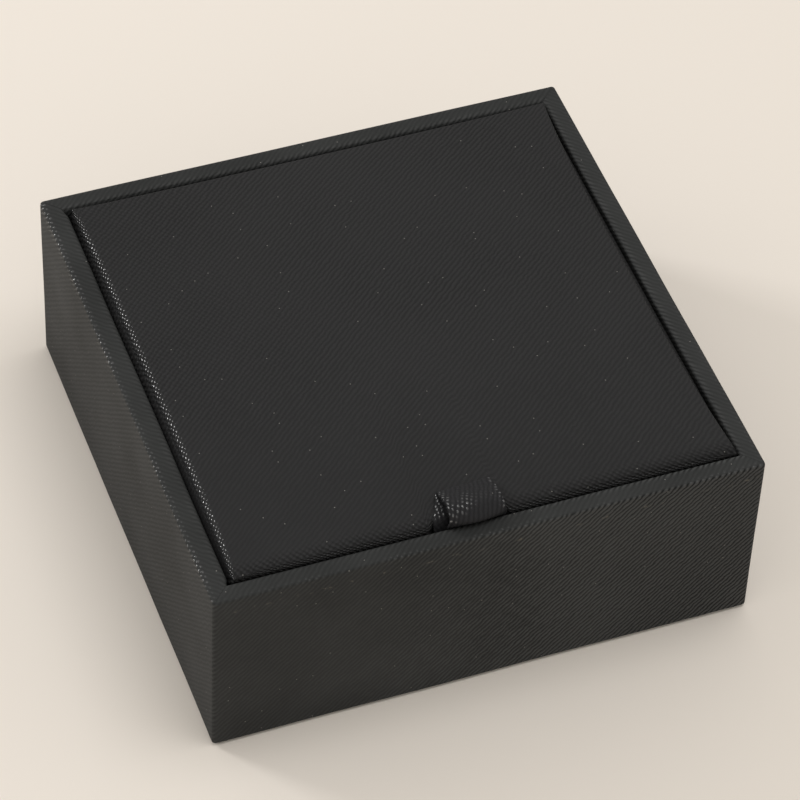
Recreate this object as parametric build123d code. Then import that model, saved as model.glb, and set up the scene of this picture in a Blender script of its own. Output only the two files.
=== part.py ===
from build123d import *
import os
from math import sqrt

# A square travel jewellery box with a padded lid that lifts off.
# The case is greyboard inside one leatherette wrap, lined with velvet-covered card.
# The lid drops inside the rim, rests on the tops of the lining, and comes out by a folded pull tab.
# Millimetres. +Z is up, +Y is the back, the origin is the middle of the underside.

# Case
box_width = 105.0
box_depth = 105.0
rim_height = 40.0
wall_board = 2.4  # thickness of the greyboard walls
base_board = 2.5
leatherette = 0.7  # thickness of the skin on the case and on the lid
board_corner_radius = 0.3
board_edge_softness = 0.1
wrap_turn_in = 14.0  # how far the wrap runs down inside the rim
wrap_turn_under = 12.0  # how far the wrap runs in under the base
base_felt = 0.5
felt_inset = 1.5  # from the outside of the box to the edge of the felt

# Lining and fittings of the case
liner_card = 2.5
floor_card = 1.8
divider_card = 2.0
divider_headroom = 8.3  # from the dividers up to the closed lid's lining
compartments = 3
ring_bay_width = 45.0
ring_rolls = 6
roll_headroom = 12.3  # from the rolls up to the closed lid's lining
roll_foot_inset = 1.1
roll_end_rounding = 1.2
roll_gap = 0.4

# Padded lid
lid_corner_gap = 0.35  # between the lid's corners and the inside of the rim
lid_proud = 1.0  # height of the lid's edges over the rim
lid_crown = 1.0  # rise of the lid's middle over its edges
lid_edge_crown = 0.1  # rise of the middle of each end over its corners
lid_board = 2.0
lid_foam = 3.0
foam_edge_rounding = 0.5
lid_turn_in = 9.0  # how far the cover runs in under the lid
lid_lining_card = 1.8
lid_lining_gap = 1.0  # between the lid's lining and the liners of the case

# Pull tab, a folded strip with its two tails glued under the lid
tab_width = 11.7
tab_offset = -2.3  # from the middle of the front, to the right
tab_strip = 0.45  # thickness of the strip
tab_reach = 7.2  # from the front gap back to the fold
tab_loop_height = 2.6
tab_fold_height = 1.5
tab_front_bend = 1.3
tab_tail = 12.0
tab_slip = 0.15  # between the strip and what it stands between
tab_clearance = 0.3
tab_joint_gap = 0.1

# Heights, from the floor up
flange_top = base_felt + leatherette
base_top = flange_top + base_board
floor_top = base_top + floor_card
wall_top = rim_height - leatherette
lid_edge_top = rim_height + lid_proud
lid_top = lid_edge_top + lid_crown
foam_bottom = lid_top - leatherette - lid_foam
lid_board_bottom = foam_bottom - lid_board
ledge = lid_board_bottom - leatherette
lid_lining_bottom = ledge - lid_lining_card
divider_top = lid_lining_bottom - divider_headroom
roll_height = lid_lining_bottom - roll_headroom - floor_top

# The leatherette follows the edges of the boards and of the foam under it
corner_radius = board_corner_radius + leatherette
rim_rounding = board_edge_softness + leatherette
inner_rim_rounding = 0.7 * leatherette
lid_edge_rounding = foam_edge_rounding + leatherette

# The gap round the lid takes both layers of the tab's strip
tab_stack = 2 * tab_strip
lid_side_gap = tab_stack + 2 * tab_slip

# Half sizes in plan, (x, y), from the outside in
outside = Vector(box_width / 2, box_depth / 2)
board_face = outside - Vector(leatherette, leatherette)
board_back = board_face - Vector(wall_board, wall_board)
recess = board_back - Vector(leatherette, leatherette)
bay = recess - Vector(liner_card, liner_card)
wrap_window = outside - Vector(wrap_turn_under, wrap_turn_under)
lid_corner = recess - Vector(lid_corner_gap, lid_corner_gap)
lid_side = recess - Vector(lid_side_gap, lid_side_gap)
lid_window = lid_side - Vector(lid_turn_in, lid_turn_in)
lid_lining_half = bay - Vector(lid_lining_gap, lid_lining_gap)

# Fittings of the case, left to right
divider_left = -bay.X + ring_bay_width
divider_right = divider_left + divider_card
roll_pitch = 2 * bay.Y / ring_rolls

# Pull tab: the strip stands in the middle of the front gap and folds on a line over the rim
tab_left = tab_offset - tab_width / 2
tab_right = tab_offset + tab_width / 2
tab_gap_y = -(recess.Y + lid_side.Y) / 2
crown_radius = (recess.Y**2 + lid_crown**2) / (2 * lid_crown)
tab_fold_y = tab_gap_y + tab_reach
lid_top_under_fold = lid_top - crown_radius + sqrt(crown_radius**2 - tab_fold_y**2)
tab_pivot_z = lid_top_under_fold + tab_clearance + tab_strip / 2


def block(low, high):
    """A box between two opposite corners."""
    size = Vector(*high) - Vector(*low)
    centre = (Vector(*high) + Vector(*low)) / 2
    return Pos(*centre) * Box(size.X, size.Y, size.Z)


def slab(half, bottom, top):
    """A flat rectangular piece centred on the origin."""
    return block((-half.X, -half.Y, bottom), (half.X, half.Y, top))


def rounded_slab(half, radius, bottom, top):
    """A slab with rounded upright corners."""
    outline = RectangleRounded(2 * half.X, 2 * half.Y, radius)
    return extrude(Pos(0, 0, bottom) * outline, top - bottom)


def make_outer_wrap():
    """Leatherette round the walls, over the rim, down inside the recess and under the base."""
    wrap = rounded_slab(outside, corner_radius, base_felt, rim_height)
    wrap = fillet(wrap.faces().sort_by(Axis.Z)[-1].edges(), rim_rounding)
    wrap -= rounded_slab(board_face, board_corner_radius, flange_top, wall_top)
    wrap += slab(board_back, rim_height - wrap_turn_in, wall_top)
    wrap -= slab(recess, rim_height - wrap_turn_in, rim_height)
    wrap -= slab(wrap_window, base_felt, flange_top)
    return fillet(wrap.faces().sort_by(Axis.Z)[-1].inner_wires()[0].edges(), inner_rim_rounding)


def make_wall_boards():
    """Front and back boards run the full width, the side boards stand between them."""
    frame = rounded_slab(board_face, board_corner_radius, flange_top, wall_top)
    frame -= slab(board_back, flange_top, wall_top)
    between = Vector(board_face.X, board_back.Y)
    sides = frame & slab(between, flange_top, wall_top)
    front_and_back = frame - sides
    left, right = sides.solids().sort_by(Axis.X)
    front, back = front_and_back.solids().sort_by(Axis.Y)
    return {
        "front_wall_board": front,
        "back_wall_board": back,
        "left_wall_board": left,
        "right_wall_board": right,
    }


def make_base_cover():
    """Felt under the box, thick enough in the middle to meet the base board."""
    cover = slab(outside - Vector(felt_inset, felt_inset), 0, base_felt)
    return cover + slab(wrap_window, base_felt, flange_top)


def make_liners():
    """Velvet-covered cards round the inside; the front one is notched for the tab's tails."""
    front = block((-bay.X, -recess.Y, base_top), (bay.X, -bay.Y, ledge))
    notch_bottom = ledge - tab_stack - tab_clearance
    front -= block(
        (tab_left - tab_clearance, -recess.Y, notch_bottom),
        (tab_right + tab_clearance, -bay.Y, ledge),
    )
    return {
        "front_liner": front,
        "back_liner": block((-bay.X, bay.Y, base_top), (bay.X, recess.Y, ledge)),
        "left_liner": block((-recess.X, -recess.Y, base_top), (-bay.X, recess.Y, ledge)),
        "right_liner": block((bay.X, -recess.Y, base_top), (recess.X, recess.Y, ledge)),
    }


def make_ring_roll(middle_y):
    """A padded roll with a half-round top whose sides curve in to a flat foot, laid along X."""
    top_radius = (roll_pitch - roll_gap) / 2
    belly_z = roll_height - top_radius
    foot = top_radius - roll_foot_inset
    section = make_face(
        [
            Line((-foot, 0), (foot, 0)),
            TangentArc((top_radius, belly_z), (foot, 0), tangent=(0, -1)),
            RadiusArc((top_radius, belly_z), (0, roll_height), -top_radius),
            RadiusArc((0, roll_height), (-top_radius, belly_z), -top_radius),
            TangentArc((-top_radius, belly_z), (-foot, 0), tangent=(0, -1)),
        ]
    )
    start = -bay.X + roll_gap
    length = ring_bay_width - 2 * roll_gap
    across = Plane(origin=(start, middle_y, floor_top), x_dir=(0, 1, 0), z_dir=(1, 0, 0))
    roll = extrude(across * section, length)
    ends = roll.faces().filter_by(Axis.X)
    rims = [edge for face in ends for edge in face.edges() if edge.center().Z > floor_top]
    return fillet(rims, roll_end_rounding)


def make_ring_rolls():
    """The rolls fill the ring bay from front to back."""
    front = -bay.Y + roll_pitch / 2
    return {
        f"ring_roll_{index + 1}": make_ring_roll(front + index * roll_pitch)
        for index in range(ring_rolls)
    }


def make_dividers():
    """One card from front to back, and cross cards that part the right bay into compartments."""
    dividers = {
        "section_divider": block(
            (divider_left, -bay.Y, floor_top), (divider_right, bay.Y, divider_top)
        ),
    }
    compartment = (2 * bay.Y - (compartments - 1) * divider_card) / compartments
    for index in range(1, compartments):
        front = -bay.Y + index * compartment + (index - 1) * divider_card
        dividers[f"cross_divider_{index}"] = block(
            (divider_right, front, floor_top), (bay.X, front + divider_card, divider_top)
        )
    return dividers


def lid_outline(inset):
    """The lid in plan: sides drawn in between pointed corners."""
    x, y = lid_corner.X - inset, lid_corner.Y - inset
    side_x, side_y = lid_side.X - inset, lid_side.Y - inset
    return make_face(
        [
            ThreePointArc((-x, -y), (0, -side_y), (x, -y)),
            ThreePointArc((x, -y), (side_x, 0), (x, y)),
            ThreePointArc((x, y), (0, side_y), (-x, y)),
            ThreePointArc((-x, y), (-side_x, 0), (-x, -y)),
        ]
    )


def crown_section(x, rise, edge_z, bottom):
    """A slice across the lid at one x: square below, arched by the rise on top."""
    y = recess.Y
    sides = Polyline((y, edge_z), (y, bottom), (-y, bottom), (-y, edge_z))
    arch = ThreePointArc((-y, edge_z), (0, edge_z + rise), (y, edge_z))
    return Plane.YZ.offset(x) * make_face([sides, arch])


def crowned_pad(inset, bottom):
    """The padded lid's shape, drawn in all over by the inset, down to a flat underside."""
    edge_z = lid_edge_top - inset
    crown = loft(
        [
            crown_section(-recess.X, lid_edge_crown, edge_z, bottom),
            crown_section(0, lid_crown, edge_z, bottom),
            crown_section(recess.X, lid_edge_crown, edge_z, bottom),
        ]
    )
    pad = crown & extrude(Pos(0, 0, bottom) * lid_outline(inset), lid_top - bottom)
    top_edges = pad.faces().sort_by(Axis.Z)[-1].edges()
    corner_edges = pad.edges().filter_by(Axis.Z)
    return fillet(top_edges + corner_edges, lid_edge_rounding - inset)


def make_lid():
    """Board, foam and the leatherette cover that is turned in under the board."""
    core = crowned_pad(leatherette, lid_board_bottom)
    board = core & slab(recess, lid_board_bottom, foam_bottom)
    cover = crowned_pad(0, ledge) - core - slab(lid_window, ledge, lid_board_bottom)
    return {"lid_cover": cover, "lid_foam": core - board, "lid_board": board}


def make_lid_lining():
    """Velvet card over the turned-in edges, relieved for the tab's tails."""
    lining = slab(lid_lining_half, lid_lining_bottom, ledge)
    lining += slab(lid_window, ledge, lid_board_bottom)
    return lining - block(
        (tab_left, -lid_lining_half.Y, ledge - tab_stack), (tab_right, tab_gap_y + tab_tail, ledge)
    )


def make_pull_tab_anchor():
    """Both tails of the strip, flat under the lid and then up the front gap."""
    front = tab_gap_y - tab_strip
    tails = block((tab_left, front, ledge - tab_stack), (tab_right, tab_gap_y + tab_tail, ledge))
    upright_top = tab_pivot_z - tab_strip / 2 - tab_joint_gap
    return tails + block((tab_left, front, ledge), (tab_right, tab_gap_y + tab_strip, upright_top))


def make_pull_tab():
    """The loop of the strip, lying back over the lid from its fold line above the gap."""
    bend_start = (0, tab_loop_height - tab_front_bend)
    bend_end = (tab_front_bend, tab_loop_height)
    fold_y = tab_reach - tab_fold_height / 2
    middle_line = make_face(
        [
            Line((0, 0), bend_start),
            RadiusArc(bend_start, bend_end, tab_front_bend),
            Line(bend_end, (fold_y, tab_fold_height)),
            ThreePointArc((fold_y, tab_fold_height), (tab_reach, tab_fold_height / 2), (fold_y, 0)),
            Line((fold_y, 0), (0, 0)),
        ]
    )
    section = offset(middle_line, tab_strip / 2) - offset(middle_line, -tab_strip / 2)
    across = Plane(origin=(tab_left, tab_gap_y, tab_pivot_z), x_dir=(0, 1, 0), z_dir=(1, 0, 0))
    return extrude(across * section, tab_width)


pieces = {
    "base_cover": make_base_cover(),
    "base_board": slab(board_back, flange_top, base_top),
    "outer_wrap": make_outer_wrap(),
    **make_wall_boards(),
    **make_liners(),
    "floor_lining": slab(bay, base_top, floor_top),
    **make_dividers(),
    **make_ring_rolls(),
    **make_lid(),
    "lid_lining": make_lid_lining(),
    "pull_tab_anchor": make_pull_tab_anchor(),
    "pull_tab": make_pull_tab(),
}

os.makedirs("parts", exist_ok=True)
for name, piece in pieces.items():
    export_step(piece, f"parts/{name}.step")
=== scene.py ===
import math

import bmesh
import bpy
from mathutils import Matrix, Vector, noise


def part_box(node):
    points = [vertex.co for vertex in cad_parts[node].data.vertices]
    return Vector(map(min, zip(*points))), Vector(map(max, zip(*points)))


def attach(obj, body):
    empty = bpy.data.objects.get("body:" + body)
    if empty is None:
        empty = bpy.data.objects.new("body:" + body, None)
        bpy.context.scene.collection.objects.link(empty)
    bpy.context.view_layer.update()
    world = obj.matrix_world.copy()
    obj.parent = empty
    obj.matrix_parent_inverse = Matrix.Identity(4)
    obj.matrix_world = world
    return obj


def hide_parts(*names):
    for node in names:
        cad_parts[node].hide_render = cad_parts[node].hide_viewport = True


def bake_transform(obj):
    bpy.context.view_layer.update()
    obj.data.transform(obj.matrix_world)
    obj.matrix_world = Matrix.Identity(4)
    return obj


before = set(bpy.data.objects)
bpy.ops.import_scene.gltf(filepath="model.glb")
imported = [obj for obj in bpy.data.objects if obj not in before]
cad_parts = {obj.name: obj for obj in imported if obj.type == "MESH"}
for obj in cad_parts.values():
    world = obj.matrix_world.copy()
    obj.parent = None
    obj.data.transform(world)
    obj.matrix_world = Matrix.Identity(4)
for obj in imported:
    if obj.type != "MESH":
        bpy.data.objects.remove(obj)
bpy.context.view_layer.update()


# Case boards: a base and four walls cut from greyboard and glued edge to edge.
# The sheet is pressed paper pulp, matt and warm grey, with paler and darker fibres in it.
# The wrap and the lining are glued over it, so these stay as the solids have them.

MM = 0.001


def linear(hex_colour):
    """An sRGB hex colour as the linear RGBA that a socket takes."""
    channels = [int(hex_colour[start:start + 2], 16) / 255 for start in (1, 3, 5)]
    return [c / 12.92 if c <= 0.04045 else ((c + 0.055) / 1.055) ** 2.4 for c in channels] + [1.0]


def add(tree, kind, inputs=None, stops=None, **settings):
    """Adds a node with its settings, colour stops and inputs, and returns it.
    An input that is a socket is linked, and any other is set."""
    made = tree.nodes.new(kind)
    for name, value in settings.items():
        setattr(made, name, value)
    for index, (position, hex_colour) in enumerate(stops or ()):
        ramp = made.color_ramp.elements
        stop = ramp[index] if index < len(ramp) else ramp.new(position)
        stop.position = position
        stop.color = linear(hex_colour)
    for name, value in (inputs or {}).items():
        if isinstance(value, bpy.types.NodeSocket):
            tree.links.new(value, made.inputs[name])
        else:
            made.inputs[name].default_value = value
    return made


def start_material(name):
    """An empty node material and its tree."""
    material = bpy.data.materials.new(name)
    material.use_nodes = True
    material.node_tree.nodes.clear()
    return material, material.node_tree


def pressed_greyboard():
    """Pulp pressed to board: flecks of fibre about a millimetre long, and no gloss."""
    fleck_length, fleck_width, fleck_relief = 1.2 * MM, 0.3 * MM, 0.03 * MM
    material, tree = start_material("pressed_greyboard")
    place = add(tree, "ShaderNodeTexCoord")
    along = add(tree, "ShaderNodeMapping", {
        "Vector": place.outputs["Object"],
        "Scale": (1 / fleck_length, 1 / fleck_width, 1 / fleck_width),
    })
    flecks = add(tree, "ShaderNodeTexNoise", {"Vector": along.outputs[0], "Scale": 1.0, "Detail": 3.0})
    colour = add(tree, "ShaderNodeValToRGB", {"Fac": flecks.outputs["Fac"]},
                 stops=[(0.32, "#7d766b"), (0.68, "#a59d90")])
    relief = add(tree, "ShaderNodeBump", {"Height": flecks.outputs["Fac"], "Distance": fleck_relief})
    shader = add(tree, "ShaderNodeBsdfPrincipled", {
        "Base Color": colour.outputs["Color"], "Normal": relief.outputs["Normal"], "Roughness": 0.92,
    })
    add(tree, "ShaderNodeOutputMaterial", {"Surface": shader.outputs[0]})
    return material


def dress(node, material):
    """Gives a CAD node that stays in view its finished material."""
    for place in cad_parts[node].material_slots:
        place.material = material


board = pressed_greyboard()
for node in ("base_board", "front_wall_board", "back_wall_board", "left_wall_board", "right_wall_board"):
    dress(node, board)


# Base felt: a square of thin black felt glued under the box, over the wrap's turned-under edges.
# Pressed wool and synthetic fibres lie in all directions, so it is matt and slightly mottled.

def maths(tree, operation, *values):
    """The result of a math node that is given these values in turn."""
    return add(tree, "ShaderNodeMath", dict(enumerate(values)), operation=operation).outputs[0]


def pressed_felt():
    """Felt: short fibres in all directions, mottled in soft tufts."""
    fibre, tuft, fibre_relief, tuft_share = 0.35 * MM, 4 * MM, 0.08 * MM, 0.35
    material, tree = start_material("pressed_felt")
    place = add(tree, "ShaderNodeTexCoord")
    fibres = add(tree, "ShaderNodeTexNoise", {
        "Vector": place.outputs["Object"], "Scale": 1 / fibre, "Detail": 4.0, "Distortion": 1.5,
    })
    tufts = add(tree, "ShaderNodeTexNoise", {"Vector": place.outputs["Object"], "Scale": 1 / tuft})
    mixed = maths(tree, "MULTIPLY_ADD", tufts.outputs["Fac"], tuft_share, fibres.outputs["Fac"])
    colour = add(tree, "ShaderNodeValToRGB", {"Fac": mixed},
                 stops=[(0.45, "#141414"), (0.85, "#2c2c2d")])
    relief = add(tree, "ShaderNodeBump", {"Height": fibres.outputs["Fac"], "Distance": fibre_relief})
    shader = add(tree, "ShaderNodeBsdfPrincipled", {
        "Base Color": colour.outputs["Color"], "Normal": relief.outputs["Normal"],
        "Roughness": 0.95, "Sheen Weight": 0.25, "Sheen Roughness": 0.6,
    })
    add(tree, "ShaderNodeOutputMaterial", {"Surface": shader.outputs[0]})
    return material


dress("base_cover", pressed_felt())


# Outer wrap: one strip of black leatherette glued round the walls, over the rim and under the base.
# It is cloth with a skin of polyurethane, embossed with two crossing sets of fine diagonal lines.
# Its corners are folded over each other on the rim, which leaves a short raised crease at each.

GRAIN_PITCH = 0.87 * MM


def embossed_leatherette(name, line_angle, relief_depth, groove, ridge):
    """Polyurethane skin rolled with two crossing sets of broken, wavering lines: dull and finely pitted.
    Along rubbed edges the tips where ridges cross are smooth, and catch the light as rows of dots; they are
    also painted paler, partly as wear and partly as a painted highlight.
    The grain lies in the piece's own UV map, which is in metres along the cloth."""
    patch, tone_patch, scuff_patch, dash, pore = 20 * MM, 28 * MM, 4 * MM, 2.2 * MM, 0.4 * MM
    speck_cell, speck_size, speck_share = 3.2 * MM, 0.1 * MM, 0.13
    bead_height, bent_depth, pore_depth = 0.065 * MM, 2.2, 0.7
    mean_line, tone_range, taut_painted_shade, tip_wear_and_highlight = 0.4, 0.6, -0.14, 0.4
    bands = math.pi / 10 / GRAIN_PITCH    # at a scale of 1 the wave texture repeats every pi / 10
    material, tree = start_material(name)
    cloth = add(tree, "ShaderNodeUVMap", uv_map="grain").outputs["UV"]
    turned = add(tree, "ShaderNodeMapping", {
        "Vector": cloth, "Rotation": (0, 0, -math.pi / 2 - line_angle),
    }).outputs[0]
    taut_and_shaded, bent, crease, rubbed = (
        add(tree, "ShaderNodeAttribute", attribute_name=mark).outputs["Fac"]
        for mark in ("taut_and_shaded", "bent", "crease_wear", "rubbed")
    )

    def mottle(size, detail, roughness=0.5):
        """Soft spots of a size in the cloth."""
        return add(tree, "ShaderNodeTexNoise", {
            "Vector": cloth, "Scale": 1 / size, "Detail": detail, "Roughness": roughness,
        }).outputs["Fac"]

    def wavering(direction, detail_scale):
        """One set of embossed lines."""
        return add(tree, "ShaderNodeTexWave", {
            "Vector": turned, "Scale": bands, "Distortion": 2.8, "Detail": 2.0, "Detail Scale": detail_scale,
        }, bands_direction=direction).outputs["Fac"]

    def painted(under, amount, hex_colour):
        """A colour with another over it by an amount."""
        return add(tree, "ShaderNodeMix", {
            0: amount, 6: under, 7: linear(hex_colour),
        }, data_type="RGBA").outputs[2]

    # Relief: one set of lines in dashes, the other fainter, in patches and open where the skin is bent,
    # and fine pores. All of it is flatter where the skin is taut.
    lines, crossing = wavering("X", 1.5), wavering("Y", 1.3)
    line_depth = add(tree, "ShaderNodeMapRange", {
        "Value": mottle(dash, 1.0), "From Min": 0.35, "From Max": 0.6, "To Min": 0.72, "To Max": 1.0,
    })
    dashes = maths(tree, "MULTIPLY", lines, line_depth.outputs[0])
    crossing_depth = add(tree, "ShaderNodeMapRange", {
        "Value": mottle(patch, 1.0), "From Min": 0.35, "From Max": 0.65, "To Min": 0.2, "To Max": 0.8,
    })
    opened = maths(tree, "MULTIPLY_ADD", bent, bent_depth, crossing_depth.outputs[0])
    crossed = maths(tree, "MULTIPLY_ADD", crossing, opened, dashes)
    height = maths(tree, "MULTIPLY_ADD", mottle(pore, 3.0), pore_depth, crossed)
    flattened = add(tree, "ShaderNodeMapRange", {"Value": taut_and_shaded, "To Min": 1.0, "To Max": 0.12}, clamp=False)
    relief = add(tree, "ShaderNodeBump", {
        "Height": height, "Strength": flattened.outputs[0], "Distance": relief_depth,
    })

    # Colour: paler ridges and darker grooves on a slowly changing tone, with painted shade where the skin is
    # taut and painted shade in the furrows at the bends.
    tone = maths(tree, "MULTIPLY_ADD", mottle(tone_patch, 2.0), tone_range, mean_line)
    # Painted shade: the tone is darker where the taut mark is set, over the rims, on the left side and
    # towards the front.
    tone_with_painted_shade = maths(tree, "MULTIPLY_ADD", taut_and_shaded, taut_painted_shade, tone)
    from_mean = maths(tree, "SUBTRACT", dashes, mean_line)
    shade = maths(tree, "MULTIPLY_ADD", from_mean, flattened.outputs[0], tone_with_painted_shade)
    plain_skin = add(tree, "ShaderNodeValToRGB", {"Fac": shade},
                     stops=[(0.0, "#0c0c0c"), (0.3, groove), (1.0, ridge)])
    # Painted shade: the crossing grooves are darkened where the skin is bent over an edge.
    furrow_shade = add(tree, "ShaderNodeMapRange", {
        "Value": crossing, "From Min": 0.55, "From Max": 0.1, "To Max": 0.7,
    })
    furrow_painted_shade = maths(tree, "MULTIPLY", furrow_shade.outputs[0], bent)
    skin = painted(plain_skin.outputs["Color"], furrow_painted_shade, "#0e0e0e")

    # Wear: scuffs along a crease, pale specks in some of the cells, and smooth tips on rubbed edges.
    scuffed = add(tree, "ShaderNodeMapRange", {
        "Value": mottle(scuff_patch, 4.0, 0.7), "From Min": 0.54, "From Max": 0.64,
    })
    scuffed_skin = painted(skin, maths(tree, "MULTIPLY", scuffed.outputs[0], crease), "#6e6960")
    specks = add(tree, "ShaderNodeTexVoronoi", {"Vector": cloth, "Scale": 1 / speck_cell},
                 voronoi_dimensions="2D")
    near = maths(tree, "LESS_THAN", specks.outputs["Distance"], speck_size / speck_cell)
    chance = add(tree, "ShaderNodeSeparateColor", {"Color": specks.outputs["Color"]})
    rare = maths(tree, "GREATER_THAN", chance.outputs["Red"], 1 - speck_share)
    specked_skin = painted(scuffed_skin, maths(tree, "MULTIPLY", near, rare), "#7d7b77")
    polish = add(tree, "ShaderNodeMapRange", {
        "Value": maths(tree, "MULTIPLY", lines, crossing), "From Min": 0.3, "From Max": 0.8,
    })
    gloss = maths(tree, "MULTIPLY", polish.outputs[0], rubbed)
    # Painted highlight: the smooth tips are painted paler, partly as wear and partly as a painted
    # reflection.
    worn_and_highlit_skin = painted(specked_skin, maths(tree, "MULTIPLY", gloss, tip_wear_and_highlight), "#66676a")
    beads = add(tree, "ShaderNodeBump", {
        "Height": maths(tree, "ADD", lines, crossing), "Distance": bead_height,
    })

    shader = add(tree, "ShaderNodeBsdfPrincipled", {
        "Base Color": worn_and_highlit_skin, "Roughness": 0.7, "Normal": relief.outputs["Normal"],
        "IOR": 1.47, "Specular IOR Level": 0.2, "Coat Weight": gloss, "Coat Roughness": 0.09,
        "Coat IOR": 2.2, "Coat Normal": beads.outputs["Normal"],
    })
    add(tree, "ShaderNodeOutputMaterial", {"Surface": shader.outputs[0]})
    return material


def quarter_turn(steps):
    """The angles of a rounded edge, from its start to its end."""
    return [math.pi / 2 * step / steps for step in range(steps + 1)]


def evenly(start, end, count):
    """Values from start to end, both included."""
    return [start + (end - start) * step / (count - 1) for step in range(count)]


def smooth(value, start, end):
    """0 before start and 1 after end, with an easy curve between."""
    part = min(1.0, max(0.0, (value - start) / (end - start)))
    return part * part * (3 - 2 * part)


def finished(mesh, name, material, sharp_from=math.radians(50)):
    """Turns a bmesh into a smooth object with a material, at the origin."""
    data = bpy.data.meshes.new(name)
    mesh.to_mesh(data)
    mesh.free()
    data.materials.append(material)
    data.shade_smooth()
    data.set_sharp_from_angle(angle=sharp_from)
    piece = bpy.data.objects.new(name, data)
    bpy.context.scene.collection.objects.link(piece)
    return piece


def wrap_profile(foot, rim, rim_width, skin, crease_drop):
    """The wrap's section from under the base to its turned-in end, as (inset, height) points, closed
    along the boards behind it, with how many of the points are on the face that shows. The points are
    close together at the crease, which is a drop below the rim."""
    turn_under, turn_in = 12 * MM, 14 * MM
    foot_rounding, rim_rounding = 0.4 * MM, 0.55 * MM
    inner_width, inner_drop, crease_step = 1.0 * MM, 0.7 * MM, 0.4 * MM
    shown = [(inset, foot) for inset in evenly(turn_under, foot_rounding, 4)][:-1]
    shown += [(foot_rounding * (1 - math.sin(a)), foot + foot_rounding * (1 - math.cos(a)))
              for a in quarter_turn(4)]
    crease = [rim - crease_drop + crease_step * step for step in range(-2, 3)]
    shown += [(0.0, height) for height in evenly(foot + foot_rounding, crease[0], 14)][1:-1]
    shown += [(0.0, height) for height in crease]
    shown += [(rim_rounding * (1 - math.cos(a)), rim - rim_rounding * (1 - math.sin(a)))
              for a in quarter_turn(6)]
    shown += [(inset, rim) for inset in evenly(rim_rounding, rim_width - inner_width, 6)][1:-1]
    shown += [(rim_width - inner_width * (1 - math.sin(a)), rim - inner_drop * (1 - math.cos(a)))
              for a in quarter_turn(7)]
    shown += [(rim_width, height) for height in evenly(rim - inner_drop, rim - turn_in, 6)][1:]
    hidden = [
        (rim_width - skin, rim - turn_in), (rim_width - skin, rim - skin),
        (skin, rim - skin), (skin, foot + skin), (turn_under, foot + skin),
    ]
    return shown + hidden, len(shown)


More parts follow.
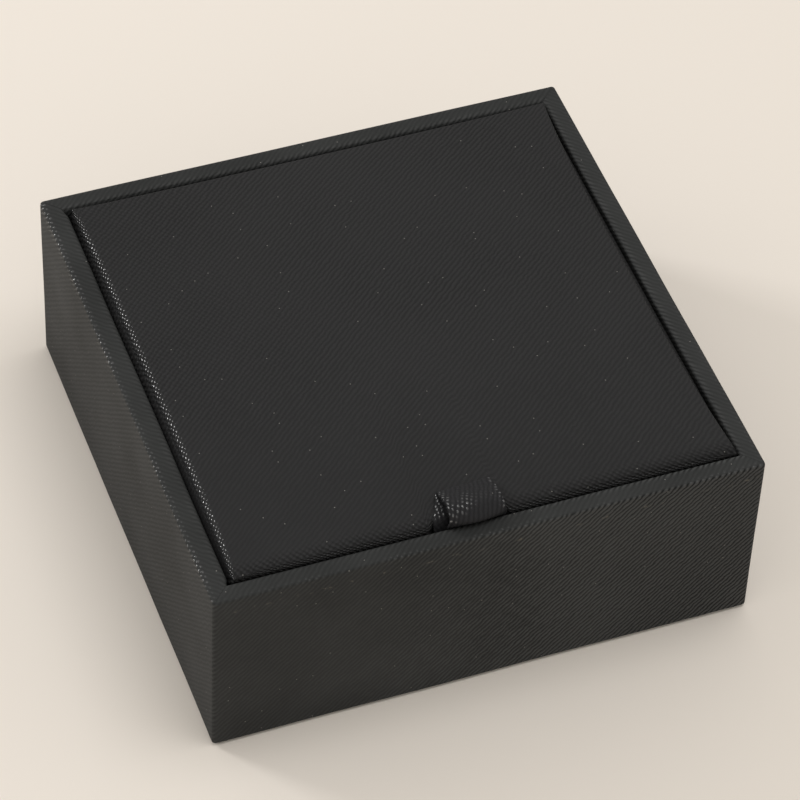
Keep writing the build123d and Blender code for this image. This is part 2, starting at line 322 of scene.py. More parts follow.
def case_wrap(material):
    """The wrap as one closed skin, its profile carried round the four sides and their corners."""
    low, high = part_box("outer_wrap")
    half, rim = high.x, high.z
    rim_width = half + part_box("front_liner")[0].y
    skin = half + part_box("front_wall_board")[0].y
    corner_radius, inner_corner = 0.65 * MM, 0.03 * MM
    proud = 0.1 * MM
    near_ends = [distance * MM for distance in (0, 0.2, 0.4, 0.7, 1.2, 2.0, 3.5)]
    along_side, round_corner = 40, 6
    fold_height, fold_width, under_fold = 0.05 * MM, 0.5 * MM, 0.75
    crease_drop, crease_width = 3.3 * MM, 0.5 * MM
    wave_size, wave_depth, rub_patch = 24 * MM, 0.1 * MM, 5 * MM
    left_slack, slack_end, ledge = 0.4 * MM, 1.5 * MM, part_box("left_liner")[1].z
    front_tension, left_tension, front_slack = 0.9, 0.85, 1.2
    points, shown = wrap_profile(low.z, rim, rim_width, skin, crease_drop)
    runs = [0.0]
    for (inset, height), (next_inset, next_height) in zip(points, points[1:] + points[:1]):
        runs.append(runs[-1] + math.hypot(next_inset - inset, next_height - height))
    side_length = 2 * (half - corner_radius) + math.pi / 2 * corner_radius

    mesh = bmesh.new()
    grain = mesh.loops.layers.uv.new("grain")
    wear = mesh.verts.layers.float.new("crease_wear")
    taut_and_shaded = mesh.verts.layers.float.new("taut_and_shaded")
    rubbed = mesh.verts.layers.float.new("rubbed")

    def mark(vertex, lean, inset, height):
        """Notes on a point of the cloth that faces along lean how scuffed, taut and rubbed it is; the taut
        mark also sets painted shade.
        """
        front, left = max(0.0, -lean.y), max(0.0, -lean.x)
        on_crease = smooth(-abs(height - (rim - crease_drop)), -crease_width, 0.0)
        vertex[wear] = on_crease * front if inset == 0.0 else 0.0
        over_rim = smooth(inset, 0.02 * MM, 0.3 * MM)
        over_rim *= 0.6 + 0.4 * smooth(rim_width - inset, 0.7 * MM, 1.3 * MM)
        drawn = front_tension * front * smooth(-vertex.co.x, -0.6 * half, 0.6 * half)
        slack = front_slack * front * smooth(vertex.co.x, 0.0, 0.9 * half) * (1 - over_rim)
        # The taut mark also darkens the colour as painted shade: over the rim, on the left side and on the
        # front's left half.
        vertex[taut_and_shaded] = max(over_rim, drawn, left_tension * left) - slack
        on_edge = smooth(height, rim - 0.9 * MM, rim - 0.4 * MM) * smooth(-inset, -0.9 * MM, -0.4 * MM)
        patchy = smooth(noise.noise(vertex.co / rub_patch), -0.3, 0.3)
        vertex[rubbed] = on_edge * (0.3 + 0.7 * patchy) * (0.1 + 0.45 * left)

    def ring(index):
        """One turn round the box at a point of the profile: its vertices, and for each step between
        two of them where that step starts and ends along the cloth."""
        inset, height = points[index]
        radius = max(corner_radius - inset, inner_corner)
        straight = half - inset - radius
        on_rim = smooth(inset, 0.1 * MM, 0.5 * MM) * smooth(rim_width - inset, 0.1 * MM, 0.6 * MM)
        vertices, steps = [], []
        for side, toward in enumerate(((-1, 0), (0, -1), (1, 0), (0, 1))):
            toward = Vector((*toward, 0))
            outward = Vector((toward.y, -toward.x, 0))
            middle = side * side_length
            places = [-straight + e for e in near_ends]
            places += evenly(places[-1], -places[-1], along_side)[1:-1]
            places += [straight - e for e in reversed(near_ends)]
            for place in places:
                spot = outward * (half - inset) + toward * place
                to_start, to_end = place + straight, straight - place
                fold = math.exp(-(to_end / fold_width) ** 2)
                fold += under_fold * math.exp(-(to_start / fold_width) ** 2)
                spot.z = height + (fold_height * fold * on_rim if index < shown else 0)
                vertices.append((spot, outward))
            steps += [(middle + a, middle + b) for a, b in zip(places, places[1:])]
            turn_start = middle + half - corner_radius
            turn = math.pi / 2 * corner_radius / round_corner
            for step in range(1, round_corner):
                angle = math.pi / 2 * step / round_corner
                lean = outward * math.cos(angle) + toward * math.sin(angle)
                spot = (outward + toward) * straight + lean * radius
                spot.z = height
                vertices.append((spot, lean))
            steps += [(turn_start + turn * s, turn_start + turn * (s + 1)) for s in range(round_corner)]
        made = []
        for spot, lean in vertices:
            if index < shown:
                wave = proud * (1 - on_rim) + wave_depth * noise.noise(spot / wave_size)
                spot = spot + lean * wave * (1 - on_rim) + Vector((0, 0, wave * on_rim))
                turned_in = smooth(inset, 0.5 * rim_width, rim_width)
                turned_in *= smooth(height, ledge + 0.3 * MM, ledge + 1.5 * MM)
                turned_in *= smooth(half - rim_width - abs(spot.y), 0.1 * MM, slack_end)
                spot -= lean * left_slack * turned_in * max(0.0, -lean.x)
            vertex = mesh.verts.new(spot)
            mark(vertex, lean, inset, height)
            made.append(vertex)
        return made, steps

    rings = [ring(index) for index in range(len(points))]
    for index, (vertices, steps) in enumerate(rings):
        above, above_steps = rings[(index + 1) % len(rings)]
        for column, (start, end) in enumerate(steps):
            after = (column + 1) % len(vertices)
            above_start, above_end = above_steps[column]
            face = mesh.faces.new((vertices[column], vertices[after], above[after], above[column]))
            marks = ((start, 0), (end, 0), (above_end, 1), (above_start, 1))
            for corner, (along, up) in zip(face.loops, marks):
                corner[grain].uv = (along, runs[index + up])
    return finished(mesh, "outer_wrap_skin", material)


wrap_leatherette = embossed_leatherette("wrap_leatherette", math.radians(45), 0.1 * MM, "#1b1c1c", "#434444")
wrap = case_wrap(wrap_leatherette)
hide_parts("outer_wrap")
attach(wrap, "box")


# Lining: cards covered with black velvet, glued to the walls and the floor, and the dividers.
# The four wall liners stop below the rim, and their tops are the ledge that the lid rests on.
# Short upright pile: nearly black face on, paler where it is brushed over and along each edge.

def short_pile_velvet():
    """Velvet: pile that takes in light face on and shows a soft sheen at a slant, with brush marks."""
    pile, brush, pile_relief, brush_share = 0.22 * MM, 5 * MM, 0.1 * MM, 0.5
    material, tree = start_material("short_pile_velvet")
    place = add(tree, "ShaderNodeTexCoord")
    tufts = add(tree, "ShaderNodeTexNoise", {
        "Vector": place.outputs["Object"], "Scale": 1 / pile, "Detail": 2.0,
    })
    marks = add(tree, "ShaderNodeTexNoise", {
        "Vector": place.outputs["Object"], "Scale": 1 / brush, "Detail": 2.0, "Distortion": 0.4,
    })
    mixed = maths(tree, "MULTIPLY_ADD", marks.outputs["Fac"], brush_share, tufts.outputs["Fac"])
    colour = add(tree, "ShaderNodeValToRGB", {"Fac": mixed},
                 stops=[(0.5, "#202022"), (1.0, "#37373b")])
    relief = add(tree, "ShaderNodeBump", {"Height": tufts.outputs["Fac"], "Distance": pile_relief})
    shader = add(tree, "ShaderNodeBsdfPrincipled", {
        "Base Color": colour.outputs["Color"], "Normal": relief.outputs["Normal"],
        "Roughness": 1.0, "Specular IOR Level": 0.1, "Sheen Weight": 0.7, "Sheen Roughness": 0.4,
    })
    add(tree, "ShaderNodeOutputMaterial", {"Surface": shader.outputs[0]})
    return material


def velvet_card(node, material, rounding, notch=None):
    """A card covered with velvet where a CAD node is, its edges rounded by the pile. A notch is cut
    in its top edge where (left, right, bottom) is given."""
    low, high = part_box(node)
    outline = [(low.x, low.z), (high.x, low.z), (high.x, high.z)]
    if notch:
        left, right, bottom = notch
        outline += [(right, high.z), (right, bottom), (left, bottom), (left, high.z)]
    outline.append((low.x, high.z))
    mesh = bmesh.new()
    front = mesh.faces.new([mesh.verts.new((x, low.y, z)) for x, z in outline])
    pushed = bmesh.ops.extrude_face_region(mesh, geom=[front])
    bmesh.ops.translate(mesh, vec=(0, high.y - low.y, 0),
                        verts=[v for v in pushed["geom"] if isinstance(v, bmesh.types.BMVert)])
    bmesh.ops.recalc_face_normals(mesh, faces=mesh.faces)
    bmesh.ops.bevel(mesh, geom=mesh.edges[:], offset=rounding, segments=3, profile=0.5, affect="EDGES")
    piece = finished(mesh, node + "_velvet", material)
    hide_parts(node)
    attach(piece, "box")
    return piece


velvet = short_pile_velvet()
liner_rounding, floor_rounding, divider_rounding = 0.35 * MM, 0.3 * MM, 0.6 * MM
tails_low, tails_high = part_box("pull_tab_anchor")
tail_room, tail_slant = 0.3 * MM, 1.7 * MM
tail_notch = (tails_low.x - tail_slant - tail_room, tails_high.x + tail_room, tails_low.z - tail_room)
velvet_card("front_liner", velvet, liner_rounding, tail_notch)
for node in ("back_liner", "left_liner", "right_liner"):
    velvet_card(node, velvet, liner_rounding)
velvet_card("floor_lining", velvet, floor_rounding)
for node in ("section_divider", "cross_divider_1", "cross_divider_2"):
    velvet_card(node, velvet, divider_rounding)


# Ring rolls: six rolls of foam covered with velvet, glued side by side to the floor of the left bay.
# Rings stand in the slots between them. Each is flat underneath and round on top. The velvet is a tube
# drawn in and tucked at both ends, and a short cloth simulation settles it over the foam that fills it.

def roll_velvet(material, length, width, height):
    """The velvet of one roll as a mesh round its own middle, with its foot at zero height. It starts a
    little small, with its ends drawn in flat from longer cloth, and the foam then pushes it out."""
    slack, drawn_from, belly, squareness = 0.6 * MM, 0.6, 0.42, 0.45
    around, along, end_rings = 64, 34, 8
    foot, crumple, crumple_size, crumple_seed = 0.6 * MM, 0.05 * MM, 1.5 * MM, 5
    enlarged, pressure, frames = 20.0, 6.0, 24
    reach = slack + 0.05 * MM

    def section(step):
        """A point round the roll, across and up: a flat foot, full sides and a round top."""
        angle = 2 * math.pi * step / around
        across, up = math.cos(angle), math.sin(angle)
        if up < 0:
            across = math.copysign(abs(across) ** squareness, across)
            return across * (width / 2 - slack), (height - slack) * belly * (1 - abs(up) ** squareness)
        return across * (width / 2 - slack), (height - slack) * (belly + up * (1 - belly))

    def tube(cone):
        """Points ring by ring from one end to the other. The ends are flat with a cone of 0, and stand
        out further the nearer it is to 1, as the cloth does before it is drawn in."""
        half, middle = length / 2 - slack, (height - slack) / 2
        end = []
        for part in evenly(0.04, 1.0, end_rings + 1)[:-1]:
            wide = part + (1 - part) * cone
            end.append((half + middle * math.sqrt((1 - part) ** 2 - (1 - wide) ** 2), wide))
        rings = [(-x, wide) for x, wide in end]
        rings += [(x, 1.0) for x in evenly(-half, half, along)]
        rings += reversed(end)
        return [Vector((x, across * wide, middle + (up - middle) * wide))
                for x, wide in rings for across, up in map(section, range(around))]

    start, cut = tube(0.0), tube(drawn_from)
    noise.seed_set(crumple_seed)
    mesh = bmesh.new()
    crumpled = [p + crumple * noise.noise_vector(p / crumple_size) for p in start]
    points = [mesh.verts.new(p * enlarged) for p in crumpled]
    rings = [points[first:first + around] for first in range(0, len(points), around)]
    for ring, next_ring in zip(rings, rings[1:]):
        for step in range(around):
            after = (step + 1) % around
            mesh.faces.new((ring[step], next_ring[step], next_ring[after], ring[after]))
    for ring in (rings[0], rings[-1]):
        mesh.faces.new(ring)
    bmesh.ops.recalc_face_normals(mesh, faces=mesh.faces)
    roll = finished(mesh, "roll_velvet", material)

    held = roll.vertex_groups.new(name="held")
    held.add([index for index, p in enumerate(start) if p.z < foot], 1.0, "REPLACE")
    held.add([*range(around), *range(len(start) - around, len(start))], 1.0, "REPLACE")
    roll.shape_key_add(name="drawn_in")
    flat = roll.shape_key_add(name="cut")
    for point, place in zip(flat.data, cut):
        point.co = place * enlarged
    cloth = roll.modifiers.new("velvet", "CLOTH")
    cloth.settings.quality = 8
    cloth.settings.bending_stiffness = 0.2
    cloth.settings.vertex_group_mass = "held"
    cloth.settings.rest_shape_key = flat
    cloth.settings.use_pressure = True
    cloth.settings.uniform_pressure_force = pressure
    cloth.settings.effector_weights.gravity = 0.0
    cloth.point_cache.frame_end = frames
    for moment in range(1, frames + 1):
        bpy.context.scene.frame_set(moment)
    settled = bpy.data.meshes.new_from_object(roll.evaluated_get(bpy.context.evaluated_depsgraph_get()))
    bpy.context.scene.frame_set(1)
    bpy.data.objects.remove(roll)
    for vertex, place in zip(settled.vertices, start):
        moved = vertex.co / enlarged - place
        vertex.co = place + moved * min(1.0, reach / max(moved.length, reach / 100))
    return settled


def applied(piece):
    """Puts a piece's modifiers into its mesh and takes them off."""
    bpy.context.view_layer.update()
    whole = bpy.data.meshes.new_from_object(piece.evaluated_get(bpy.context.evaluated_depsgraph_get()))
    piece.modifiers.clear()
    piece.data = whole
    return piece


def ring_roll_row(material):
    """One roll repeated along the bay by a node tree, every other one turned end for end."""
    low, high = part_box("ring_roll_1")
    rolls = [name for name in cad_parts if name.startswith("ring_roll_")]
    row = bpy.data.objects.new("ring_roll_row", roll_velvet(material, *(high - low)))
    bpy.context.scene.collection.objects.link(row)

    tree = bpy.data.node_groups.new("ring_roll_row", "GeometryNodeTree")
    ports = {}
    for name, kind, way in (
        ("Roll", "NodeSocketGeometry", "INPUT"), ("Count", "NodeSocketInt", "INPUT"),
        ("First", "NodeSocketVector", "INPUT"), ("Pitch", "NodeSocketFloat", "INPUT"),
        ("Velvet", "NodeSocketMaterial", "INPUT"), ("Row", "NodeSocketGeometry", "OUTPUT"),
    ):
        ports[name] = tree.interface.new_socket(name, in_out=way, socket_type=kind).identifier
    given = add(tree, "NodeGroupInput").outputs
    step = add(tree, "ShaderNodeCombineXYZ", {"Y": given["Pitch"]})
    line = add(tree, "GeometryNodeMeshLine", {
        "Count": given["Count"], "Start Location": given["First"], "Offset": step.outputs[0],
    })
    number = add(tree, "GeometryNodeInputIndex")
    odd = maths(tree, "MODULO", number.outputs[0], 2.0)
    angles = add(tree, "ShaderNodeCombineXYZ", {"Z": maths(tree, "MULTIPLY", odd, math.pi)})
    turn = add(tree, "FunctionNodeEulerToRotation", {0: angles.outputs[0]})
    roll = add(tree, "GeometryNodeGeometryToInstance", {0: given["Roll"]})
    placed = add(tree, "GeometryNodeInstanceOnPoints", {
        "Points": line.outputs[0], "Instance": roll.outputs[0], "Rotation": turn.outputs[0],
    })
    real = add(tree, "GeometryNodeRealizeInstances", {0: placed.outputs[0]})
    dressed = add(tree, "GeometryNodeSetMaterial", {
        "Geometry": real.outputs[0], "Material": given["Velvet"],
    })
    add(tree, "NodeGroupOutput", {0: dressed.outputs[0]})
    repeat = row.modifiers.new("repeat", "NODES")
    repeat.node_group = tree
    repeat[ports["Count"]] = len(rolls)
    repeat[ports["First"]] = ((low.x + high.x) / 2, (low.y + high.y) / 2, low.z)
    repeat[ports["Pitch"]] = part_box("ring_roll_2")[0].y - low.y
    repeat[ports["Velvet"]] = material
    applied(row)
    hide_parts(*rolls)
    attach(row, "box")


ring_roll_row(velvet)


# Lid board and foam: a stiff greyboard square with a sheet of foam on top, inside the lid's cover.
# The foam is open-cell polyurethane, cream with small round pores. It is cut a little smaller than
# the board, and the tight cover presses its upper edges round and leaves its middle high.

def open_cell_foam():
    """Polyurethane foam: a matt cream skin of small pores, with painted shade inside them."""
    cell, cell_relief = 0.6 * MM, 0.15 * MM
    material, tree = start_material("open_cell_foam")
    place = add(tree, "ShaderNodeTexCoord")
    cells = add(tree, "ShaderNodeTexVoronoi", {"Vector": place.outputs["Object"], "Scale": 1 / cell})
    colour = add(tree, "ShaderNodeValToRGB", {"Fac": cells.outputs["Distance"]},
                 stops=[(0.1, "#b9b29f"), (0.6, "#e2dccb")])
    relief = add(tree, "ShaderNodeBump", {"Height": cells.outputs["Distance"], "Distance": cell_relief})
    shader = add(tree, "ShaderNodeBsdfPrincipled", {
        "Base Color": colour.outputs["Color"], "Normal": relief.outputs["Normal"], "Roughness": 0.9,
    })
    add(tree, "ShaderNodeOutputMaterial", {"Surface": shader.outputs[0]})
    return material


def foam_sheet(material):
    """The sheet as it lies under the cover: crowned, with its edges pressed down and flat underneath."""
    low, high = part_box("lid_foam")
    half, crown, rounding = high.x - 1.4 * MM, 1.3 * MM, 1.2 * MM
    pressed = [half - rounding * (1 - math.sin(a)) for a in quarter_turn(5)]
    across = [-p for p in reversed(pressed)] + evenly(-pressed[0], pressed[0], 33)[1:-1] + pressed

    def top(x, y):
        """The height of the sheet, which falls off from its middle and rolls over at its edges."""
        arch = (1 - abs(x / half) ** 3) * (1 - abs(y / half) ** 3)
        beyond = max(0.0, max(abs(x), abs(y)) - pressed[0])
        sunk = rounding - math.sqrt(max(0.0, rounding ** 2 - beyond ** 2))
        return high.z - crown * (1 - arch) - sunk

    mesh = bmesh.new()
    columns = [[mesh.verts.new((x, y, top(x, y))) for y in across] for x in across]
    for column, beside in zip(columns, columns[1:]):
        for step in range(len(across) - 1):
            mesh.faces.new((column[step], beside[step], beside[step + 1], column[step + 1]))
    border = [edge for edge in mesh.edges if edge.is_boundary]
    sides = bmesh.ops.extrude_edge_only(mesh, edges=border)["geom"]
    for vertex in sides:
        if isinstance(vertex, bmesh.types.BMVert):
            vertex.co.z = low.z
    bmesh.ops.contextual_create(mesh, geom=[edge for edge in mesh.edges if edge.is_boundary])
    bmesh.ops.recalc_face_normals(mesh, faces=mesh.faces)
    sheet = finished(mesh, "lid_foam_sheet", material)
    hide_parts("lid_foam")
    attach(sheet, "lid")


dress("lid_board", board)
foam_sheet(open_cell_foam())


# Lid cover: the same leatherette drawn tight over the foam and the board, and glued under the board.
# The pull leaves a low crown and rounded edges, drawn in between the corners so that these stand out
# as points. The sides below lean out to the board, and the front edge falls level with the rim.

def lid_cover(material):
    """The cover as a skin over a grid that runs on over each edge, down the side and underneath.
    Where two sides meet at a corner their edges are joined."""
    low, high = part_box("lid_cover")
    half, bottom = high.x, low.z
    skin = 0.35 * MM
    # By axis, for its low and its high side: where the corners reach to, how much the edge is drawn in
    # between them, and how much of the full rounding it has.
    tip_reach = {0: (half - 0.8 * MM, half + 0.3 * MM), 1: (half + 0.2 * MM, half - 0.2 * MM)}
    draws = {0: (0.5 * MM, 1.4 * MM), 1: (0.1 * MM, 0.35 * MM)}
    edge_softness = {0: (0.8, 0.35), 1: (0.35, 0.4)}
    tab_draw, tab_fade, open_room, flat_room = 1.25 * MM, 0.8 * MM, 1.8 * MM, 0.2 * MM
    tab_left, tab_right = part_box("pull_tab")[0].x - open_room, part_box("pull_tab")[1].x + flat_room
    edge_rounding = 1.6 * MM
    crown, tip_droop, tip_sharpness = 1.4 * MM, 0.2 * MM, 0.8
    foam_edge, front_droop, droop_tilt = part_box("lid_foam")[1].y, 0.35 * MM, 0.5
    side_reach = {0: (half - 0.25 * MM, half + 0.15 * MM), 1: (half + 0.15 * MM, half + 0.15 * MM)}
    lean_end = 1.3 * MM
    rub_by_side = {(0, -1): 1.0, (0, 1): 0.25, (1, -1): 0.15, (1, 1): 0.2}
    rub_start, rub_full = 0.2 * MM, 1.0 * MM
    bend_start, bend_full, left_bend = half - 3.5 * MM, half - 0.8 * MM, 0.3
    tension, tension_tilt = 0.55, 0.2
    edge_top = high.z - crown
    turn_in, joined_within = 9 * MM, 0.001 * MM
    wave_size, wave_depth = 22 * MM, 0.06 * MM
    near_edge = (0.984, 0.992, 1.0)
    across = [-part for part in reversed(near_edge)] + evenly(-0.975, 0.975, 85) + [*near_edge]
    side_levels = (0.0, 0.06, 0.14, 0.24, 0.36, 0.6, 1.0)
    down, under = len(side_levels) - 1, 3

    # A station is (part of the half width, inset from the side, drop below the top, run along the cloth).
    flat = half - edge_rounding
    rising = [
        (1.0, edge_rounding * (1 - math.sin(a)), edge_rounding * (1 - math.cos(a)), edge_rounding * a)
        for a in quarter_turn(7)[1:]
    ]
    stations = [(-1, *station[1:]) for station in reversed(rising)]
    stations += [(part, None, 0.0, 0.0) for part in across]
    stations += rising
    last = len(stations) - 1

    def softness(axis, station, other):
        """How much of the full rounding an edge has, less at the tips."""
        return edge_softness[axis][station[0] > 0] * (1 - tip_sharpness * abs(other[0]) ** 12)

    def place(axis, station, other, height=high.z):
        """Where a station is along its axis, for the other axis's station. The edge is drawn in between
        the corners, and below it the side leans out to the board."""
        part, inset, _, _ = station
        lean_top = edge_top - edge_rounding * edge_softness[axis][part > 0]
        reach = tip_reach[axis][part > 0] - draws[axis][part > 0] * (1 - abs(other[0]) ** 3)
        reach += (side_reach[axis][part > 0] - reach) * smooth(lean_top - height, 0.0, lean_end)
        rounding = edge_rounding * softness(axis, station, other)
        if axis == 1 and part < 0:
            beside = max(tab_left - other[0] * half, other[0] * half - tab_right)
            reach -= tab_draw * (1 - smooth(beside, 0, tab_fade))
        if inset is None:
            return part * (reach - rounding)
        return part * (reach - inset * rounding / edge_rounding)

    def cloth(station):
        """How far along the cloth a station is from the middle."""
        part, inset, _, run = station
        return part * flat if inset is None else part * (flat + run)

    def top(x, y):
        """The crown over the foam, flat in the middle and falling off to the edges, most at the front."""
        fall = (1 - abs(x / half) ** 3) * (1 - abs(y / half) ** 3)
        droop = tip_droop * abs(x * y / half ** 2) ** 20
        droop += front_droop * (1 + droop_tilt * x / half) * smooth(-y, foam_edge, half)
        return edge_top + crown * fall - droop + wave_depth * noise.noise(Vector((x, y, 0)) / wave_size)

    mesh = bmesh.new()
    grain = mesh.loops.layers.uv.new("grain")
    rubbed = mesh.verts.layers.float.new("rubbed")
    bent = mesh.verts.layers.float.new("bent")
    taut_and_shaded = mesh.verts.layers.float.new("taut_and_shaded")
    spots = {}

    def vertex(column, row, level=0):
        """A point of the grid; a level above 0 is on the side below a border point, then underneath."""
        key = (column, row, level)
        if key not in spots:
            a, b = stations[column], stations[row]
            x, y = place(0, a, b), place(1, b, a)
            start = top(x, y) - a[2] * softness(0, a, b) - b[2] * softness(1, b, a)
            along = [cloth(a), cloth(b)]
            depth = (start - bottom) * side_levels[min(level, down)]
            inward = turn_in * max(0, level - down) / under
            z, run = start - depth, depth + inward
            if level:
                x, y = (p * (1 - inward / half) for p in (place(0, a, b, z), place(1, b, a, z)))
            point = mesh.verts.new((x, y, z))
            spots[key] = (point, along, run)
            for axis, station in enumerate((a, b)):
                if station[1] is not None:
                    rub = rub_by_side[axis, station[0]] * smooth(station[3], rub_start, rub_full)
                    rub *= max(0.0, 1 - level / 2)
                    point[rubbed] = max(rub, point[rubbed])
            # Bent opens the crossing grooves in the relief and paints shade into them.
            at_front = smooth(-y, bend_start, bend_full)
            at_left = smooth(-x, 0.1 * half, 0.8 * half) * smooth(y, -0.6 * half, 0.2 * half)
            point[bent] = max(at_front, left_bend * at_left)
            toward_front = smooth(-y, -0.2 * half, 0.8 * half)
            # The taut mark also paints shade on the front of the lid, more to the left.
            point[taut_and_shaded] = (tension - tension_tilt * x / half) * toward_front * (1 - at_front)
        return spots[key]

    def panel(corners, axis=None, sign=0):
        """A face from grid points; axis and sign say which way the cloth runs on down a side."""
        face = mesh.faces.new([spot[0] for spot in corners])
        for corner, (_, along, run) in zip(face.loops, corners):
            mark = list(along)
            if axis is not None:
                mark[axis] += sign * run
            corner[grain].uv = mark

    for column in range(last):
        for row in range(last):
            panel([vertex(column, row), vertex(column + 1, row),
                   vertex(column + 1, row + 1), vertex(column, row + 1)])
    for step in range(last):
        for level in range(down + under):
            for border, sign in ((0, -1), (last, 1)):
                right = [vertex(border, step, level), vertex(border, step + 1, level),
                         vertex(border, step + 1, level + 1), vertex(border, step, level + 1)]
                back = [vertex(step, border, level), vertex(step + 1, border, level),
                        vertex(step + 1, border, level + 1), vertex(step, border, level + 1)]
                panel(right if sign < 0 else right[::-1], 0, sign)
                panel(back if sign > 0 else back[::-1], 1, sign)
    bmesh.ops.remove_doubles(mesh, verts=mesh.verts, dist=joined_within)
    bmesh.ops.recalc_face_normals(mesh, faces=mesh.faces)
    cover = finished(mesh, "lid_cover_skin", material)
    wall = cover.modifiers.new("skin", "SOLIDIFY")
    wall.thickness = skin
    wall.offset = -1
    applied(cover)
    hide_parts("lid_cover")
    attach(cover, "lid")


lid_leatherette = embossed_leatherette("lid_leatherette", math.radians(40), 0.085 * MM, "#222223", "#2c2c2d")
lid_cover(lid_leatherette)


# Lid lining: a card covered with velvet, glued under the lid over the turned-in cloth and the tails.
# It is made like the cards in the box, but it rides the lid.

lid_lining = velvet_card("lid_lining", velvet, liner_rounding)
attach(lid_lining, "lid")


# Pull tab: a folded strip of leatherette that comes up out of the front gap and lies back on the lid.
# The fold stands open on its left, where it makes a small tunnel, and is flattened on its right.
# Both ends go down the gap and under the lid, where they are glued between the board and its lining.

def smooth_line(points, per_span):
    """A smooth line through points, with a number of steps between each two."""
    line = []
    for index in range(len(points) - 1):
        before = points[max(index - 1, 0)]
        start, end = points[index], points[index + 1]
        after = points[min(index + 2, len(points) - 1)]
        for step in range(per_span):
            t = step / per_span
            line.append(0.5 * (
                2 * start + (end - before) * t + (2 * before - 5 * start + 4 * end - after) * t ** 2
                + (3 * start - before - 3 * end + after) * t ** 3
            ))
    line.append(points[-1])
    return line


def strip(mesh, grain, left_edge, right_edge, bow, per_span=6, across=16):
    """Adds a strip between two edges, each a list of points, with its UV map along and across it.
    The bow gives how far the cloth stands out to the front between the edges at a run along it."""
    left, right = smooth_line(left_edge, per_span), smooth_line(right_edge, per_span)
    run, rows = 0.0, []
    for index, (start, end) in enumerate(zip(left, right)):
        if index:
            run += ((start + end) / 2 - (left[index - 1] + right[index - 1]) / 2).length
        out = Vector((0, -bow(run), 0))
        rows.append((run, [mesh.verts.new(start.lerp(end, t) + out * math.sin(math.pi * t) ** 0.8)
                           for t in evenly(0.0, 1.0, across)]))
    width = (right[0] - left[0]).length
    for (run, row), (next_run, next_row) in zip(rows, rows[1:]):
        for step in range(across - 1):
            face = mesh.faces.new((row[step], row[step + 1], next_row[step + 1], next_row[step]))
            near, far = width * step / (across - 1), width * (step + 1) / (across - 1)
            marks = ((near, run), (far, run), (far, next_run), (near, next_run))
            for corner, mark in zip(face.loops, marks):
                corner[grain].uv = mark


def tab_piece(name, strips, material, bow=lambda run: 0.0):
    """One or more strips as a piece with the thickness of the cloth and softened cut edges."""
    thickness, cut_rounding, rub_patch = 0.45 * MM, 0.1 * MM, 2.5 * MM
    # Where the rubbing of the fold and of the two cut edges starts and is full, up the tab and across.
    fold_up, fold_across = (42.4 * MM, 43.6 * MM), (1.5 * MM, 4.5 * MM)
    open_up, open_across = (40.6 * MM, 41.4 * MM), (6.2 * MM, 7.0 * MM)
    flat_up, flat_across = (41.7 * MM, 42.1 * MM), (2.5 * MM, 3.1 * MM)
    mesh = bmesh.new()
    grain = mesh.loops.layers.uv.new("grain")
    rubbed = mesh.verts.layers.float.new("rubbed")
    for left_edge, right_edge in strips:
        strip(mesh, grain, left_edge, right_edge, bow)
    for vertex in mesh.verts:
        patchy = smooth(noise.noise(vertex.co / rub_patch), -0.2, 0.3)
        x, z = vertex.co.x, vertex.co.z
        on_fold = smooth(z, *fold_up) * (0.15 + 0.85 * smooth(-x, *fold_across))
        on_open_edge = smooth(z, *open_up) * smooth(-x, *open_across)
        on_flat_edge = smooth(z, *flat_up) * smooth(x, *flat_across)
        vertex[rubbed] = max(0.8 * patchy * on_fold, on_open_edge, 0.8 * on_flat_edge)
    piece = finished(mesh, name, material)
    wall = piece.modifiers.new("thickness", "SOLIDIFY")
    wall.thickness = thickness
    wall.offset = 0
    edge = piece.modifiers.new("cut edge", "BEVEL")
    edge.width = cut_rounding
    edge.segments = 2
    edge.limit_method = "ANGLE"
    edge.angle_limit = math.radians(60)
    applied(piece)
    return piece


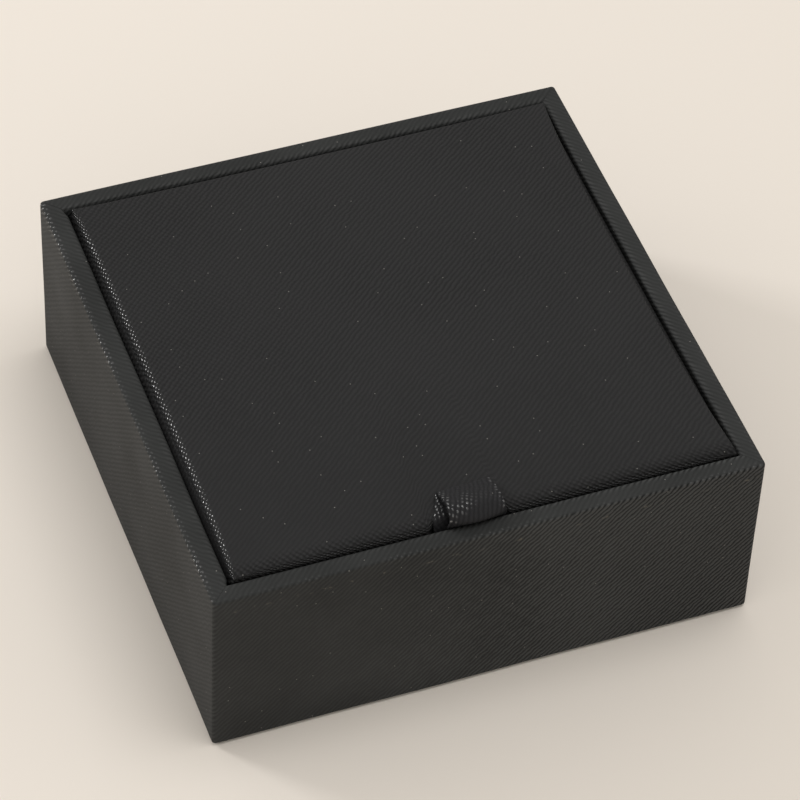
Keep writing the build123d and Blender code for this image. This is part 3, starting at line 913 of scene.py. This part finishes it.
def pull_tab(material):
    """The loop, which bends at the tab's hinge, and its two tails under the lid."""

    def edge(places):
        """Points at places given in millimetres."""
        return [Vector(place) * MM for place in places]

    # The loop's two cut edges: up out of the gap, back over the lid, round, and forward and down again.
    open_end = [
        (-7.5, -48.35, 38.0), (-7.5, -48.42, 39.4), (-7.5, -48.85, 40.4), (-7.4, -49.15, 41.6),
        (-7.35, -48.9, 43.0), (-7.35, -47.9, 44.0), (-7.4, -46.6, 44.2), (-7.4, -45.0, 43.75),
        (-7.35, -43.6, 42.95), (-7.25, -42.4, 42.2), (-7.3, -42.0, 41.9), (-7.6, -42.3, 41.68),
        (-8.1, -43.6, 41.55), (-8.8, -45.4, 41.35), (-9.3, -46.4, 41.1), (-9.7, -47.1, 40.5),
        (-9.75, -47.45, 39.4), (-9.7, -47.88, 38.0),
    ]
    flat_end = [
        (3.6, -48.35, 38.0), (3.6, -48.42, 39.4), (3.55, -48.75, 40.4), (3.45, -48.8, 41.3),
        (3.35, -48.45, 42.2), (3.3, -47.6, 42.75), (3.3, -46.5, 42.85), (3.35, -45.2, 42.6),
        (3.3, -43.6, 42.3), (3.05, -42.0, 42.05), (2.9, -41.5, 41.85), (2.8, -41.7, 41.68),
        (2.5, -43.6, 41.55), (2.0, -45.4, 41.35), (1.65, -46.4, 41.1), (1.5, -47.1, 40.5),
        (1.5, -47.45, 39.4), (1.6, -47.88, 38.0),
    ]
    bulge, bulge_run, bulge_length = 0.9 * MM, 3.5 * MM, 1.1 * MM
    loop = tab_piece("pull_tab_loop", [(edge(open_end), edge(flat_end))], material,
                     lambda run: bulge * math.exp(-((run - bulge_run) / bulge_length) ** 2))
    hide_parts("pull_tab")
    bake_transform(loop)

    # Each tail lies under the board, turns up in the gap and meets the loop where that starts or ends.
    outer_tail = [(-36.3, 34.93), (-42.0, 34.93), (-47.2, 34.93), (-48.1, 35.25), (-48.35, 36.2)]
    inner_tail = [(-36.3, 35.37), (-42.0, 35.37), (-47.0, 35.37), (-47.65, 35.6), (-47.88, 36.3)]
    strips = []
    for tail, (left, *left_end), (right, *right_end) in (
        (outer_tail, open_end[0], flat_end[0]), (inner_tail, open_end[-1], flat_end[-1]),
    ):
        strips.append((edge([(left, *place) for place in (*tail, left_end)]),
                       edge([(right, *place) for place in (*tail, right_end)])))
    ends = tab_piece("pull_tab_tails", strips, material)
    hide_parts("pull_tab_anchor")
    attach(ends, "lid")


pull_tab(embossed_leatherette("tab_leatherette", math.radians(68), 0.045 * MM, "#1f1f21", "#272729"))


# Studio: a plain pale floor, soft light from the left and above, and the photograph's viewing angle.
# None of it belongs to the box.

def pale_floor():
    """A plain matt sweep of warm white board, with hardly any tone of its own."""
    material, tree = start_material("pale_floor")
    place = add(tree, "ShaderNodeTexCoord")
    tone = add(tree, "ShaderNodeTexNoise", {"Vector": place.outputs["Object"], "Scale": 3.0})
    colour = add(tree, "ShaderNodeValToRGB", {"Fac": tone.outputs["Fac"]},
                 stops=[(0.3, "#f0e8df"), (0.7, "#f3ebe2")])
    shader = add(tree, "ShaderNodeBsdfPrincipled", {
        "Base Color": colour.outputs["Color"], "Roughness": 0.9,
    })
    add(tree, "ShaderNodeOutputMaterial", {"Surface": shader.outputs[0]})
    return material


floor_half = 4.0
floor_mesh = bmesh.new()
bmesh.ops.create_grid(floor_mesh, x_segments=1, y_segments=1, size=floor_half)
floor = finished(floor_mesh, "floor", pale_floor())

world = bpy.data.worlds.new("studio")
world.use_nodes = True
world.node_tree.nodes["Background"].inputs["Color"].default_value = linear("#efece6")
world.node_tree.nodes["Background"].inputs["Strength"].default_value = 0.72
bpy.context.scene.world = world


def soft_box(name, place, size, power):
    """A square lamp aimed at the middle of the box."""
    middle = Vector((0, 0, 20 * MM))
    lamp = bpy.data.lights.new(name, "AREA")
    lamp.size = size
    lamp.energy = power
    holder = bpy.data.objects.new(name, lamp)
    holder.location = place
    holder.rotation_euler = (middle - Vector(place)).to_track_quat("-Z", "Y").to_euler()
    bpy.context.scene.collection.objects.link(holder)


soft_box("window_light", place=(-0.62, 0.62, 0.42), size=0.2, power=2.6)
soft_box("top_light", place=(0.22, -0.08, 1.15), size=0.6, power=3.5)


def photo_camera():
    """The camera where the photograph was taken from, found from the corners of the box."""
    azimuth, elevation, roll = math.radians(-22.183), math.radians(47.320), math.radians(2.939)
    distance, aim = 787.94 * MM, Vector((1.966, -0.026, 20.0)) * MM
    back = Vector((math.sin(azimuth) * math.cos(elevation), -math.cos(azimuth) * math.cos(elevation),
                   math.sin(elevation)))
    right = Vector((math.cos(azimuth), math.sin(azimuth), 0))
    up = back.cross(right)
    turned_right = right * math.cos(roll) + up * math.sin(roll)
    turned_up = up * math.cos(roll) - right * math.sin(roll)
    lens = bpy.data.cameras.new("photo_camera")
    lens.sensor_width = 36
    lens.lens = 187.6
    lens.clip_end = 20
    holder = bpy.data.objects.new("photo_camera", lens)
    facing = Matrix((turned_right, turned_up, back)).transposed()
    holder.matrix_world = Matrix.Translation(aim + back * distance) @ facing.to_4x4()
    bpy.context.scene.collection.objects.link(holder)
    bpy.context.scene.camera = holder


photo_camera()
bpy.context.scene.view_settings.view_transform = "Standard"
